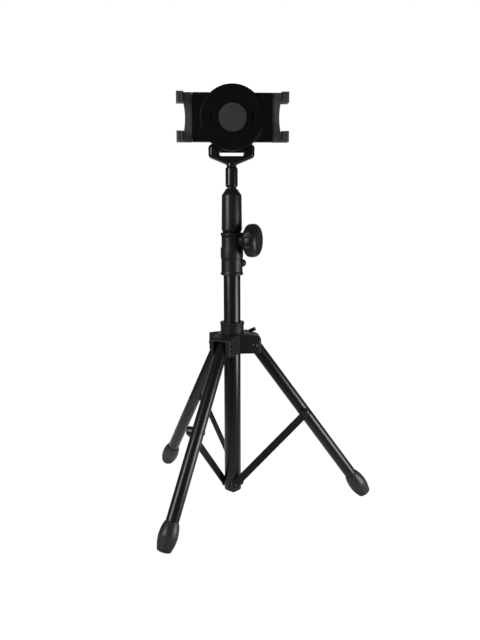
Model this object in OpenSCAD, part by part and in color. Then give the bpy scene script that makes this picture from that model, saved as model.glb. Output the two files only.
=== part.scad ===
// Adjustable tablet floor stand: tripod with a two-stage column and a tilting, turning tablet holder.
// Millimetres, +Z up. Z = 0 is the floor, the Z axis is the column, the holder faces -Y,
// and the right leg points along +X. Drawn at its lowest height with the legs spread.

/* [Tubes] */
// Outside diameter of the column's outer tube
column_od = 30; // [26:0.5:34]
// Outside diameter of the middle tube
middle_od = 25.4; // [24:0.2:26]
// Outside diameter of the inner rod
rod_od = 16; // [14:0.5:17]
// Outside diameter of the leg tubes
leg_od = 22; // [18:0.5:24]
// Wall of every tube
tube_wall = 1.2; // [0.8:0.1:1.4]
// Length of the outer tube
column_len = 442; // [400:1:520]
// Gap left below the lowered middle tube, above the spider's plug
middle_gap = 2.6; // [1:0.1:6]
// Gap left below the lowered rod, above the middle tube's end
rod_gap = 2.4; // [1:0.1:6]

/* [Bottom spider] */
// Height of the spider's underside above the floor
spider_z = 20; // [12:0.5:30]
// Height of the spider below the tube
spider_h = 24.5; // [22:0.5:30]
// How far the spider's rim stands outside the tube
spider_rim = 0.3; // [0.2:0.1:1]
// Height of the chamfer round the spider's underside
spider_chamfer = 3; // [1:0.5:4]
// Length of the spider's plug inside the tube
spider_plug_len = 14; // [10:1:16]
// Wall of the spider's plug
spider_plug_wall = 3; // [2:0.5:5]
// Height of the brace pivots above the spider's underside
brace_pivot_h = 12.8; // [10:0.1:13]

/* [Legs] */
// Lean of a spread leg from upright, in degrees
leg_tilt = 35.9; // [30:0.1:40]
// Leg length from its pivot to the end of its foot
leg_len = 356.4; // [320:0.2:380]
// Leg tube above the pivot
leg_head = 7; // [6:0.5:8]
// Distance along the leg from the pivot to the brace rivet
clip_at = 157; // [140:1:170]
// Length of the plug in the top of a leg
leg_plug_len = 32; // [26:1:50]
// Thickness of the plug's cap
leg_cap = 1.5; // [1:0.5:2]
// Diameter of the rivets
rivet_d = 6; // [4:0.5:8]
// Diameter of the dome heads of the rivets
rivet_head_d = 13.5; // [9:0.5:15]
// Height of the dome heads of the rivets
rivet_head_h = 2.2; // [2:0.2:4]
// Diameter of the rivets' closed ends on the far side of the legs
rivet_tail_d = 8.4; // [7.6:0.2:10]

/* [Feet] */
// Length of a rubber foot
foot_len = 46; // [42:1:56]
// Largest diameter of a foot
foot_d = 32.4; // [28:0.2:33]
// Height of the foot's widest part above its end
foot_waist = 24; // [20:1:28]
// Diameter of the foot's upper rim
foot_rim_d = 24.6; // [24.4:0.2:26.5]
// Diameter of the foot's end
foot_end_d = 24.6; // [18:0.2:26]
// Rounding at the foot's end
foot_round = 3; // [2:0.5:4]
// Depth of the worn flat where the foot meets the floor
foot_flat = 0.6; // [0.4:0.1:1]
// Rubber under the end of the tube
foot_sole = 12; // [8:1:16]
// Number of ring ribs on the lower half
foot_ribs = 5; // [3:1:6]
// Depth of the grooves between the ribs
foot_groove = 0.9; // [0.6:0.1:1.6]

/* [Braces] */
// Width of a brace strip
strip_w = 13.6; // [10:0.2:15]
// Thickness of a brace strip
strip_t = 2.5; // [1.5:0.1:3]
// Diameter of the round eyes of a strip
eye_d = 16.4; // [15:0.2:17]

/* [Leg hub] */
// Distance of the leg pivots from the column's axis
pivot_r = 40; // [37:0.5:44]
// Outside diameter of the hub's top ring
ring_d = 43.2; // [40:0.2:48]
// Outside diameter of the hub's sleeve between the arms
hub_core_d = 37.2; // [35:0.2:37.6]
// Height of the leg pivots above the underside of the arms
arm_below = 14; // [10:0.5:15]
// Roof's underside above the pivots
arm_above = 17.3; // [17:0.1:19]
// Thickness of the roof over each arm
roof_t = 4.2; // [3:0.2:6]
// How far the roof drops from the ring to an arm's outer end
roof_drop = 4.5; // [2:0.5:5]
// Height of the top ring above the roof
ring_h = 20.3; // [16:0.1:24]
// Height of the ring's lip
ring_lip_h = 5; // [3:0.5:8]
// How far the ring is stepped in below its lip
ring_step = 0.8; // [0.4:0.1:1.5]
// Reach of the arms from the column's axis
arm_reach = 51; // [51:0.5:58]
// Thickness of the cheeks either side of a leg
cheek_t = 7; // [5:0.5:8]
// Rounding of the arms' outer top corner
arm_round = 9; // [5:0.5:11]
// Rounding of the arms' outer upright edges
arm_side_round = 5; // [3:0.5:6]
// Diameter of the leg bolts
bolt_d = 6; // [5:0.5:8]
// Diameter of the bolt heads
bolt_head_d = 10; // [9:0.5:13]
// Height of the bolt heads
bolt_head_h = 2; // [1.5:0.5:4]
// Width of the bolts' nuts across flats
nut_af = 10; // [9.5:0.5:13]
// Height of the bolts' nuts
nut_h = 2.5; // [2:0.5:5]

/* [Hub lock] */
// Bearing of the wing screw, in degrees from the right leg
wing_azimuth = 57; // [56:1:64]
// Height of the wing screw above the leg pivots
wing_above = 12; // [9:0.5:12.5]
// Diameter of the boss that holds the wing screw
wing_boss_d = 17; // [14:0.5:18]
// Reach of that boss from the column's axis
wing_boss_reach = 32; // [28:0.5:36]
// Diameter of both clamp studs
stud_d = 8; // [6:0.5:9]
// Length of the wing head along its axis
wing_len = 26; // [18:0.5:28]
// Diameter of the wing head's core
wing_core_d = 15; // [13:0.5:16]
// Span of the two wings
wing_span = 48; // [34:1:50]
// Thickness of the wings
wing_t = 6.5; // [4:0.5:7]
// Roll of the wings from level, in degrees
wing_roll = 28; // [0:1:45]

/* [Column collar] */
// Height of the collar's bottom rim
collar_rim_low = 5.6; // [4:0.2:8]
// Height of the section above the bottom rim
collar_low_h = 25; // [22:0.5:30]
// Height of the raised band
collar_band_h = 19.4; // [16:0.2:24]
// Height of the knob section
collar_body_h = 21.6; // [21:0.2:26]
// Height of the collar's top rim
collar_rim_top = 3.6; // [2.5:0.1:5]
// Diameter of the collar's rims
collar_rim_d = 39.8; // [38.6:0.2:42]
// Diameter of the raised band
collar_band_d = 39.8; // [38:0.2:41]
// Diameter of the lower section
collar_low_d = 37.8; // [36.4:0.2:38]
// Diameter of the knob section
collar_body_d = 36.6; // [35.4:0.2:37.4]
// Collar standing above the end of the outer tube
collar_over = 8.3; // [6:0.1:12]
// Length of the guide bush inside the outer tube
bush_len = 36; // [30:1:44]
// Thickness of the guide bush's flange
bush_flange = 2; // [1:0.2:3]
// Diameter of the dome screw's head
dome_d = 14; // [10:0.5:15]
// Height of the dome screw's head
dome_h = 6.5; // [4:0.5:7]
// Diameter of the dome screw's shank
dome_shank_d = 5; // [4:0.5:6]
// Seat of the dome screw outside the lower section
dome_seat = 0.8; // [0.6:0.1:1.5]

/* [Height knob] */
// Bearing of the height knob and the dome screw, in degrees from the right leg
knob_azimuth = -22; // [-35:1:-10]
// Diameter of the height knob
knob_d = 60; // [48:1:62]
// Depth of the height knob along its axis
knob_depth = 29; // [26:0.5:34]
// Number of finger flutes
knob_flutes = 10; // [8:1:12]
// Diameter of the cutter for each flute
flute_d = 11; // [8:0.5:14]
// Depth of each flute
flute_depth = 2.4; // [1.5:0.1:3]
// Diameter of the boss behind the knob
knob_boss_d = 21; // [18:0.5:21.4]
// Reach of that boss from the column's axis
knob_boss_reach = 22.6; // [21:0.2:26]
// Depth of the stud inside the knob
stud_grip = 20; // [14:0.5:22]

/* [Twist clutch] */
// Diameter of the clutch sleeve
sleeve_d = 36.2; // [33:0.2:38]
// Height of the clutch sleeve
sleeve_h = 75.8; // [66:0.2:84]
// Height of the sleeve's tapered top
sleeve_taper = 11.2; // [8:0.2:14]
// Height of the chamfer at the sleeve's bottom
sleeve_chamfer = 5; // [3:0.5:7]
// How much the sleeve narrows upwards on each side
sleeve_draft = 0.7; // [0:0.1:1.2]
// Depth of that chamfer
sleeve_inset = 2.2; // [1:0.1:3]
// Diameter of the sleeve's mouth
sleeve_mouth_d = 19.2; // [18.6:0.2:22]
// Height of the middle tube inside the sleeve
sleeve_over_tube = 10; // [6:0.5:14]
// Length of the clutch base's plug in the middle tube
base_plug_len = 35; // [25:1:40]
// Thickness of the clutch base's flange
base_flange = 3; // [2:0.5:4]
// Height of the clutch base's core
base_core_h = 32; // [26:1:36]
// Height of the split collet
collet_h = 18; // [14:1:20]
// Wall of the collet at its thin end
collet_wall = 2; // [1.5:0.1:3]
// Width of the collet's slits
collet_slit = 1.5; // [1:0.1:2]
// Number of the collet's slits
collet_slits = 3; // [2:1:4]

/* [Guides] */
// Length of the guide ring at the foot of the middle tube
middle_guide_len = 20; // [14:1:26]
// Length of the guide ring at the foot of the inner rod
rod_guide_len = 18; // [14:1:26]
// Thickness of the caps under both guide rings
guide_cap = 2; // [1.5:0.5:3]

/* [Barrel and yoke] */
// Diameter of the barrel on top of the rod
barrel_d = 21.6; // [20:0.2:23]
// Height of the barrel
barrel_h = 35.2; // [32:0.2:40]
// Chamfer at both ends of the barrel
barrel_chamfer = 2; // [1:0.2:3]
// Depth of the rod inside the barrel
barrel_grip = 15; // [10:0.5:18]
// Web between the rod and the yoke's stem
barrel_web = 2; // [1.5:0.5:4]
// Diameter of the yoke's stem
stem_d = 12; // [10:0.5:13]
// Overall width of the tilt yoke
yoke_w = 80.2; // [72:0.2:88]
// Width of the yoke's slot
yoke_slot_w = 41.4; // [36:0.2:46]
// Height of the tilt axis above the barrel
tilt_above = 29.9; // [28:0.1:36]
// Diameter of the yoke's hinge knuckles and depth of the yoke
knuckle_d = 17.4; // [15:0.2:17.6]
// Diameter of the tilt arm's knuckle
arm_knuckle_d = 13.6; // [12:0.2:17]
// Depth of the yoke's slot below the tilt axis
yoke_slot_depth = 12; // [11:0.1:14]
// Where the yoke's sides start to taper, below the tilt axis
yoke_side = 15.6; // [14:0.1:16]
// Where the tapered flanks end, below the tilt axis
yoke_flank = 27.2; // [25:0.1:28]
// Rounding of the yoke's outer corners
yoke_round = 5.5; // [3:0.5:6]
// Diameter of the boss at the foot of the yoke
yoke_boss_d = 18; // [15:0.5:20]
// Diameter of the tilt pin
tilt_pin_d = 6; // [4:0.5:7]
// How far the tilt pin's ends lie inside the yoke's sides
tilt_pin_inset = 0.6; // [0.4:0.1:2]

/* [Tilt arm] */
// Height of the holder's centre above the tilt axis
holder_above = 50.7; // [48:0.1:60]
// Distance from the tilt axis to the holder's back
holder_offset = 12; // [12:0.1:18]
// Width of the arm's neck
arm_neck_w = 34; // [26:1:36]
// Thickness of the arm's neck
arm_neck_t = 6.3; // [5:0.1:6.6]
// Diameter of the arm's pivot boss
arm_boss_d = 44; // [36:1:48]
// How far the boss stands behind the tilt axis
arm_boss_back = 1.5; // [0.5:0.1:4]
// Diameter of the pivot bolt
pivot_d = 10; // [8:0.5:12]
// Diameter of the pivot bolt's dome head
pivot_head_d = 20; // [16:0.5:24]
// Height of the pivot bolt's dome head
pivot_head_h = 4.5; // [3:0.5:6]
// Width of the pivot nut across flats
pivot_nut_af = 17; // [15:0.5:19]
// Thickness of the pivot nut
pivot_nut_h = 5; // [4:0.5:6]

/* [Tablet holder] */
// Diameter of the round part of the holder
disc_d = 110.4; // [106:0.2:118]
// Width of the holder's body
body_w = 136; // [124:0.5:148]
// Height of the holder's body
body_h = 81.2; // [76:0.2:86]
// Rounding of the body's corners
body_round = 1.5; // [1:0.5:9]
// Thickness of the body's back wall
back_t = 3; // [2:0.2:4]
// Depth of the space for the jaws
bay_depth = 9.5; // [8:0.1:12]
// Height of the space for the jaws
bay_h = 73.2; // [68:0.2:73.6]
// Thickness of the front cover
cover_t = 3.5; // [2.5:0.1:5]
// How far the disc stands in front of the cover
disc_rise = 2.5; // [1.5:0.1:4]
// Chamfer round the front of the disc
disc_chamfer = 2.2; // [0.5:0.1:2.4]
// Diameter of the centre pad
pad_d = 47.6; // [40:0.2:54]
// Depth of the pad's recess
pad_recess = 1.2; // [0.8:0.1:2]
// How far the pad stands in front of the disc
pad_rise = 1.5; // [0.8:0.1:3]
// Radius of the curved recesses either side of the pad
recess_r = 35.4; // [31:0.2:40]
// Width of the curved recesses
recess_w = 4.4; // [2:0.2:6]
// Depth of the curved recesses
recess_depth = 2.4; // [1:0.1:3]
// Half the sweep of a curved recess, in degrees
recess_sweep = 15; // [12:1:24]
// Diameter of the clear space round the pivot nut
nut_space_d = 24; // [22:0.5:26]
// Sideways place of the case screws
case_screw_x = 16; // [12:0.5:20]
// Height of the case screws above or below the centre
case_screw_z = 46; // [44:0.5:48]
// Diameter of the case screws
case_screw_d = 3; // [2.5:0.5:4]
// Diameter of the case screws' heads
case_head_d = 6; // [5:0.5:8]
// Height of the case screws' heads
case_head_h = 2; // [1.5:0.5:3]

/* [Jaws] */
// Overall width across the closed jaws
jaws_w = 189.6; // [180:0.2:204]
// Overall height of a jaw
jaw_h = 81.8; // [80.6:0.2:88]
// Height of each prong
prong_h = 17.6; // [14:0.2:20]
// Depth of a jaw's face plate
jaw_t = 13; // [10:0.2:13.4]
// Distance from the holder's centre to the web between the prongs
web_x = 82.2; // [80:0.2:88]
// Depth of the curved cut in the web
web_dip = 2.2; // [1:0.1:3]
// How far the fingers stand in front of a jaw's face plate
finger_reach = 17; // [12:0.5:22]
// Thickness of a finger's outer wall
finger_wall = 5; // [4:0.2:7]
// Rounding of a finger's outer edge
finger_round = 2.5; // [1.5:0.1:2.5]
// Thickness of the rubber grips
grip_t = 7.4; // [5:0.2:9]
// Number of ridges on a grip
grip_ridges = 4; // [3:1:5]
// Depth of the grooves between ridges
grip_groove = 1.4; // [0.8:0.1:2]
// Height of a jaw's guide rails
rail_h = 7.6; // [5:0.2:9]
// Distance from the holder's centre to the inner end of a rail
rail_x = 18; // [14:0.5:24]
// Width of the cross bar that joins the rails
bar_w = 12; // [8:0.5:16]
// Diameter of a jaw spring
spring_d = 8; // [6:0.2:8.6]
// Thickness of a spring's wound wall
spring_wall = 1.2; // [0.8:0.1:2]
// Diameter of a spring's hook wire
hook_d = 1.6; // [1.2:0.1:2]
// Length of a spring's hooks
hook_len = 4; // [3:0.5:6]

/* [Fits] */
// Radial clearance of a turning fit
turn_fit = 0.05; // [0.02:0.01:0.08]
// Clearance of a sliding fit
slide_fit = 0.3; // [0.2:0.05:0.4]
// Gap between faces that pass each other
face_gap = 0.3; // [0.2:0.05:0.5]
// Radial clearance of a fixed fit
fixed_fit = 0.02; // [0.01:0.01:0.03]

/* [Hidden] */
$fn = 64;

// Overshoot of every cutter past the face that it cuts
over = 1;
// Bearings of the right, front and rear legs
right = 0;
front = -120;
rear = 120;
LEGS = [right, front, rear];

// Radii of the tubes
column_r = column_od / 2;
column_bore = column_r - tube_wall;
middle_r = middle_od / 2;
middle_bore = middle_r - tube_wall;
rod_r = rod_od / 2;
leg_r = leg_od / 2;
leg_bore = leg_r - tube_wall;

// Heights up the column
column_z = spider_z + spider_h;
column_top = column_z + column_len;
collar_h = collar_rim_low + collar_low_h + collar_band_h + collar_body_h + collar_rim_top;
collar_top = column_top + collar_over;
collar_z = collar_top - collar_h;
collar_low_z = collar_z + collar_rim_low;
collar_band_z = collar_low_z + collar_low_h;
collar_body_z = collar_band_z + collar_band_h;
knob_z = collar_body_z + collar_body_h * 0.53;
dome_z = collar_low_z + collar_low_h * 0.65;
sleeve_z = collar_top + face_gap;
sleeve_top = sleeve_z + sleeve_h;
middle_top = sleeve_z + sleeve_over_tube;
middle_z = column_z + spider_plug_len + middle_gap + guide_cap;
base_top = middle_top + base_flange + base_core_h;
collet_z = base_top;
collet_top = collet_z + collet_h;
barrel_z = sleeve_top + 2 * face_gap + guide_cap;
barrel_top = barrel_z + barrel_h;
rod_top = barrel_z + barrel_grip;
rod_z = middle_z + rod_gap + guide_cap;
stem_z = rod_top + barrel_web;
yoke_z = barrel_top + face_gap;
tilt_z = yoke_z + tilt_above;
holder_z = tilt_z + holder_above;

// Steps in each half of a foot's curve
foot_steps = 6;

// Braces and legs: each brace lies on the clockwise side of its leg
boss_face = column_r + spider_rim + face_gap;
strip_in = boss_face + face_gap;
strip_out = strip_in + strip_t;
brace_z = spider_z + brace_pivot_h;
pivot_z = (leg_len - foot_round) * cos(leg_tilt) + (foot_end_d / 2 - foot_round) * sin(leg_tilt)
          + foot_round - foot_flat;
clip_r = pivot_r + clip_at * sin(leg_tilt);
clip_z = pivot_z - clip_at * cos(leg_tilt);
brace_len = norm([clip_r, clip_z - brace_z]);
brace_tilt = atan2(clip_r, clip_z - brace_z);
tail_face = leg_r + face_gap;

// Hub
arm_z = pivot_z - arm_below;
roof_z = pivot_z + arm_above;
roof_top = roof_z + roof_t;
ring_top = roof_top + ring_h;
hub_bore = column_r + slide_fit;
slot_half = leg_r + 3 * face_gap;
shelf_r = ring_d / 2 + ring_step;
slot_end_z = roof_z - roof_drop * (2 * arm_reach - shelf_r) / (arm_reach - shelf_r);
arm_half = slot_half + cheek_t;
wing_z = pivot_z + wing_above;
wing_x = wing_boss_reach + face_gap;

// Holder depths, counted from the tilt axis towards the viewer
bay_y = holder_offset + back_t;
cover_y = bay_y + bay_depth;
face_y = cover_y + cover_t;
disc_y = face_y + disc_rise;
jaw_y = holder_offset + face_gap;
jaw_face_y = jaw_y + jaw_t;
jaw_x = body_w / 2 + face_gap;
jaw_end = jaws_w / 2;
finger_y = jaw_face_y + finger_reach;
prong_z = jaw_h / 2 - prong_h;
bar_x = jaw_x - bar_w;
spring_y = bay_y + bay_depth / 2;
spring_x = nut_space_d / 2 + hook_len;

// Shapes that repeat
module rod_along_x(r, from, to) {
    translate([from, 0, 0]) rotate([0, 90, 0]) cylinder(r = r, h = to - from);
}

module rod_along_y(r, from, to) {
    translate([0, from, 0]) rotate([-90, 0, 0]) cylinder(r = r, h = to - from);
}

module rod_along_z(r, from, to) {
    translate([0, 0, from]) cylinder(r = r, h = to - from);
}

// Ring round the Z axis
module ring(r_out, r_in, from, to) {
    difference() {
        rod_along_z(r_out, from, to);
        rod_along_z(r_in, from - over, to + over);
    }
}

// Spherical cap standing on z = 0
module dome(base_d, height) {
    ball = (base_d * base_d / 4 + height * height) / (2 * height);
    intersection() {
        translate([0, 0, height - ball]) sphere(r = ball);
        cylinder(d = base_d, h = height);
    }
}

module hexagon(across_flats, height) {
    cylinder(d = across_flats / cos(30), h = height, $fn = 6);
}

module rounded_rect(w, h, r) {
    square([w - 2 * r, h], center = true);
    square([w, h - 2 * r], center = true);
    for (x = [-1, 1], y = [-1, 1]) translate([x * (w / 2 - r), y * (h / 2 - r)]) circle(r = r);
}

// Flat outline drawn in X and Z, carried from depth near to depth far in front of the tilt axis
module facing(near, far) {
    translate([0, -near, holder_z]) rotate([90, 0, 0]) linear_extrude(far - near) children();
}

// Frames: a leg's own bearing, down the leg from its pivot, up the brace from its pivot
module at_leg(bearing) { rotate([0, 0, bearing]) children(); }

module down_leg(bearing) {
    at_leg(bearing) translate([pivot_r, 0, pivot_z]) rotate([0, -leg_tilt, 0]) children();
}

module up_brace(bearing) {
    at_leg(bearing) translate([0, 0, brace_z]) rotate([0, brace_tilt, 0]) children();
}

// Clamp screw frames
module at_knob() { rotate([0, 0, knob_azimuth]) translate([0, 0, knob_z]) children(); }

module at_dome() { rotate([0, 0, knob_azimuth]) translate([0, 0, dome_z]) children(); }

module at_wing() { rotate([0, 0, wing_azimuth]) translate([0, 0, wing_z]) children(); }

// Column
module outer_tube() {
    color([0.09, 0.09, 0.10]) difference() {
        ring(column_r, column_bore, column_z, column_top);
        at_knob() rod_along_x(stud_d / 2 + slide_fit, 0, column_r + over);
        at_dome() rod_along_x(dome_shank_d / 2 + fixed_fit, 0, column_r + over);
    }
}

module bottom_spider() {
    rim = column_r + spider_rim;
    plug = column_bore - fixed_fit;
    top = column_z + spider_plug_len;
    color([0.11, 0.11, 0.12]) difference() {
        union() {
            rotate_extrude() polygon([[0, spider_z], [rim - spider_chamfer, spider_z],
                                      [rim, spider_z + spider_chamfer], [rim, column_z],
                                      [plug, column_z], [plug, top - tube_wall],
                                      [plug - tube_wall, top], [0, top]]);
            for (bearing = LEGS) at_leg(bearing) translate([0, 0, brace_z])
                rod_along_y(eye_d / 2, -boss_face, -column_r / 2);
        }
        rod_along_z(plug - spider_plug_wall, column_z, top + over);
        for (bearing = LEGS) at_leg(bearing) translate([0, 0, brace_z])
            rod_along_y(rivet_d / 2 + fixed_fit, -boss_face - over, -column_r / 3);
    }
}

module spider_rivets() {
    color([0.16, 0.16, 0.17]) for (bearing = LEGS) at_leg(bearing) translate([0, 0, brace_z]) {
        rod_along_y(rivet_d / 2, -strip_out - face_gap, -column_r / 3);
        translate([0, -strip_out - face_gap, 0]) rotate([90, 0, 0]) dome(rivet_head_d, rivet_head_h);
    }
}

module column_collar() {
    rim = collar_rim_d / 2;
    low = collar_low_d / 2;
    band = collar_band_d / 2;
    body = collar_body_d / 2;
    lip = collar_rim_top / 3;
    color([0.12, 0.12, 0.13]) difference() {
        union() {
            rotate_extrude() polygon([[0, collar_z], [rim - lip, collar_z], [rim, collar_z + lip],
                                      [rim, collar_low_z - lip], [low, collar_low_z],
                                      [low, collar_band_z - lip], [band, collar_band_z],
                                      [band, collar_body_z - lip], [body, collar_body_z],
                                      [body, collar_top - collar_rim_top], [rim, collar_top - 2 * lip],
                                      [rim, collar_top - lip], [rim - lip, collar_top], [0, collar_top]]);
            at_knob() rod_along_x(knob_boss_d / 2, 0, knob_boss_reach);
            at_dome() rod_along_x(dome_d / 2, 0, low + dome_seat);
        }
        rod_along_z(column_r + fixed_fit, collar_z - over, column_top + bush_flange + face_gap);
        rod_along_z(middle_r + slide_fit, column_z, collar_top + over);
        at_knob() rod_along_x(stud_d / 2 + turn_fit, 0, knob_boss_reach + over);
        at_dome() rod_along_x(dome_shank_d / 2 + fixed_fit, 0, low + dome_seat + over);
    }
}

module collar_bush() {
    outer = column_bore - fixed_fit;
    inner = middle_r + slide_fit / 2;
    color([0.2, 0.2, 0.21]) {
        ring(outer, inner, column_top - bush_len, column_top);
        ring(column_r, inner, column_top, column_top + bush_flange);
    }
}

module collar_screw() {
    seat = collar_low_d / 2 + dome_seat;
    color([0.22, 0.22, 0.23]) at_dome() {
        rod_along_x(dome_shank_d / 2, column_bore, seat);
        translate([seat, 0, 0]) rotate([0, 90, 0]) dome(dome_d, dome_h);
    }
}

// Height knob: a domed revolve with finger flutes, narrow behind where it meets the collar's boss
module height_knob() {
    back = knob_boss_reach + face_gap;
    tip = back + knob_depth;
    grip = knob_d / 2;
    neck = knob_boss_d / 2;
    crown = knob_depth * 0.47;
    color([0.1, 0.1, 0.11]) at_knob() difference() {
        rotate([0, 90, 0]) rotate_extrude() {
            polygon([[0, back], [neck, back], [grip * 0.6, back + knob_depth * 0.03],
                     [grip * 0.9, back + knob_depth * 0.2], [grip * 0.98, back + knob_depth * 0.36],
                     [grip, tip - crown], [0, tip - crown]]);
            intersection() {
                translate([0, tip - crown]) square([grip, crown]);
                union() {
                    translate([grip - crown, tip - crown]) circle(r = crown);
                    translate([0, tip - crown]) square([grip - crown, crown]);
                }
            }
        }
        rod_along_x(stud_d / 2 + fixed_fit, back - over, back + stud_grip);
        for (i = [0 : knob_flutes - 1]) rotate([360 / knob_flutes * i, 0, 0])
            translate([0, 0, grip + flute_d / 2 - flute_depth]) rod_along_x(flute_d / 2, back, tip + over);
    }
}

module knob_stud() {
    color([0.6, 0.6, 0.62]) at_knob()
        rod_along_x(stud_d / 2, column_bore + turn_fit, knob_boss_reach + face_gap + stud_grip);
}

// Leg hub: a sliding sleeve with three forked arms, open below and at their outer ends
module arm_outline() {
    inner = (hub_bore + hub_core_d / 2) / 2;
    round_x = arm_reach - arm_round;
    round_z = roof_top - roof_drop * (round_x - shelf_r) / (arm_reach - shelf_r) - arm_round;
    difference() {
        polygon([[-inner, arm_z], [arm_reach, arm_z], [arm_reach, roof_top - roof_drop],
                 [shelf_r, roof_top], [-inner, roof_top]]);
        translate([round_x, round_z]) square(2 * arm_round);
    }
    translate([round_x, round_z]) circle(r = arm_round);
}

module leg_hub() {
    ring_r = ring_d / 2;
    lip_z = ring_top - ring_lip_h;
    color([0.12, 0.12, 0.13]) difference() {
        union() {
            rod_along_z(hub_core_d / 2, arm_z, roof_z);
            rotate_extrude() polygon([[0, roof_z], [ring_r - ring_step, roof_z], [ring_r - ring_step, lip_z],
                                      [ring_r, lip_z], [ring_r, ring_top - ring_step],
                                      [ring_r - ring_step, ring_top], [0, ring_top]]);
            for (bearing = LEGS) at_leg(bearing) intersection() {
                translate([0, arm_half, 0]) rotate([90, 0, 0]) linear_extrude(2 * arm_half) arm_outline();
                translate([0, 0, arm_z]) linear_extrude(roof_top - arm_z)
                    rounded_rect(2 * arm_reach, 2 * arm_half, arm_side_round);
            }
            at_wing() rotate([wing_roll, 0, 0]) rod_along_x(wing_boss_d / 2, 0, wing_boss_reach);
        }
        rod_along_z(hub_bore, arm_z - over, ring_top + over);
        for (bearing = LEGS) at_leg(bearing) {
            difference() {
                translate([0, slot_half, 0]) rotate([90, 0, 0]) linear_extrude(2 * slot_half)
                    polygon([[0, arm_z - over], [2 * arm_reach, arm_z - over], [2 * arm_reach, slot_end_z],
                             [shelf_r, roof_z], [0, roof_z]]);
                rod_along_z(hub_core_d / 2, arm_z - 2 * over, roof_z + over);
            }
            translate([pivot_r, 0, pivot_z])
                rod_along_y(bolt_d / 2 + fixed_fit, -arm_half - over, arm_half + over);
        }
        at_wing() rod_along_x(stud_d / 2 + turn_fit, 0, wing_boss_reach + over);
    }
}

module hub_bolts() {
    color([0.2, 0.2, 0.21]) for (bearing = LEGS) at_leg(bearing) translate([pivot_r, 0, pivot_z]) {
        rod_along_y(bolt_d / 2, -arm_half, arm_half + nut_h);
        translate([0, -arm_half, 0]) rotate([90, 0, 0]) dome(bolt_head_d, bolt_head_h);
    }
}

module hub_nuts() {
    color([0.45, 0.45, 0.47]) for (bearing = LEGS) at_leg(bearing)
        translate([pivot_r, arm_half, pivot_z]) rotate([-90, 0, 0]) difference() {
            hexagon(nut_af, nut_h);
            rod_along_z(bolt_d / 2 + fixed_fit, -over, nut_h + over);
        }
}

// Hub lock: a two-winged head on a stud
module wing_head() {
    tip_r = wing_len / 4;
    color([0.1, 0.1, 0.11]) at_wing() rotate([-wing_roll, 0, 0]) difference() {
        union() {
            rod_along_x(wing_core_d / 2, wing_x, wing_x + wing_len - tip_r);
            translate([wing_x + wing_len - 2 * tip_r, 0, -wing_t / 2]) linear_extrude(wing_t) {
                for (side = [-1, 1])
                    translate([tip_r / 2, side * (wing_span / 2 - tip_r)]) circle(r = tip_r);
                translate([-tip_r / 2, tip_r - wing_span / 2]) square([2 * tip_r, wing_span - 2 * tip_r]);
            }
        }
        rod_along_x(stud_d / 2 + fixed_fit, wing_x - over, wing_x + wing_len / 2);
    }
}

module wing_stud() {
    color([0.6, 0.6, 0.62]) at_wing() rod_along_x(stud_d / 2, column_r + face_gap, wing_x + wing_len / 2);
}

// Legs, drawn down their own axis
module leg_tube(bearing) {
    color([0.09, 0.09, 0.10]) down_leg(bearing) difference() {
        ring(leg_r, leg_bore, foot_sole - leg_len, leg_head);
        rod_along_y(bolt_d / 2 + turn_fit, -leg_od, leg_od);
        translate([0, 0, -clip_at]) rod_along_y(rivet_d / 2 + fixed_fit, -leg_od, leg_od);
    }
}

module leg_plug(bearing) {
    color([0.14, 0.14, 0.15]) down_leg(bearing) difference() {
        union() {
            rod_along_z(leg_bore - fixed_fit, leg_head - leg_plug_len, leg_head);
            rod_along_z(leg_r, leg_head, leg_head + leg_cap);
        }
        rod_along_y(bolt_d / 2 + turn_fit, -leg_od, leg_od);
    }
}

// Foot: bulging to its waist and drawn in again, ring ribs below, rounded end, a worn flat on the floor
function foot_skin(z) = z < foot_waist
    ? foot_d / 2 - (foot_d - foot_end_d) / 2 * pow((foot_waist - z) / (foot_waist - foot_round), 2)
    : foot_d / 2 - (foot_d - foot_rim_d) / 2 * pow((z - foot_waist) / (foot_len - foot_waist), 2);

module foot(bearing) {
    end = foot_end_d / 2;
    rise = foot_waist - foot_round;
    pitch = rise / foot_ribs;
    low = [for (i = [0 : foot_steps - 1]) foot_round + rise * i / foot_steps];
    high = [for (i = [0 : foot_steps]) foot_waist + (foot_len - foot_waist) * i / foot_steps];
    color([0.13, 0.13, 0.13]) difference() {
        down_leg(bearing) translate([0, 0, -leg_len]) difference() {
            union() {
                rotate_extrude() polygon(concat([[0, foot_round]], [for (z = low) [foot_skin(z), z]],
                                                [for (z = high) [foot_skin(z), z]], [[0, foot_len]]));
                rotate_extrude() {
                    square([end - foot_round, foot_round]);
                    intersection() {
                        translate([end - foot_round, foot_round]) circle(r = foot_round);
                        square([end, foot_round]);
                    }
                }
            }
            rod_along_z(leg_r + fixed_fit, foot_sole, foot_len + over);
            for (i = [1 : foot_ribs - 1]) {
                level = foot_round + pitch * i;
                ring(foot_d, foot_skin(level) - foot_groove, level - foot_groove / 2, level + foot_groove / 2);
            }
        }
        at_leg(bearing) translate([0, -foot_d, -foot_d]) cube([pivot_r + leg_len, 2 * foot_d, foot_d]);
    }
}

// Saddle that holds the brace off the leg
module leg_clip(bearing) {
    color([0.11, 0.11, 0.12]) down_leg(bearing) translate([0, 0, -clip_at]) difference() {
        rod_along_y(eye_d / 2, -boss_face, 0);
        rod_along_z(leg_r + fixed_fit, -eye_d, eye_d);
        rod_along_y(rivet_d / 2 + fixed_fit, -boss_face - over, over);
    }
}

module leg_rivet(bearing) {
    color([0.16, 0.16, 0.17]) down_leg(bearing) translate([0, 0, -clip_at]) {
        rod_along_y(rivet_d / 2, -boss_face, tail_face);
        translate([0, tail_face, 0]) rotate([-90, 0, 0]) dome(rivet_tail_d, rivet_head_h / 2);
    }
}

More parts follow.
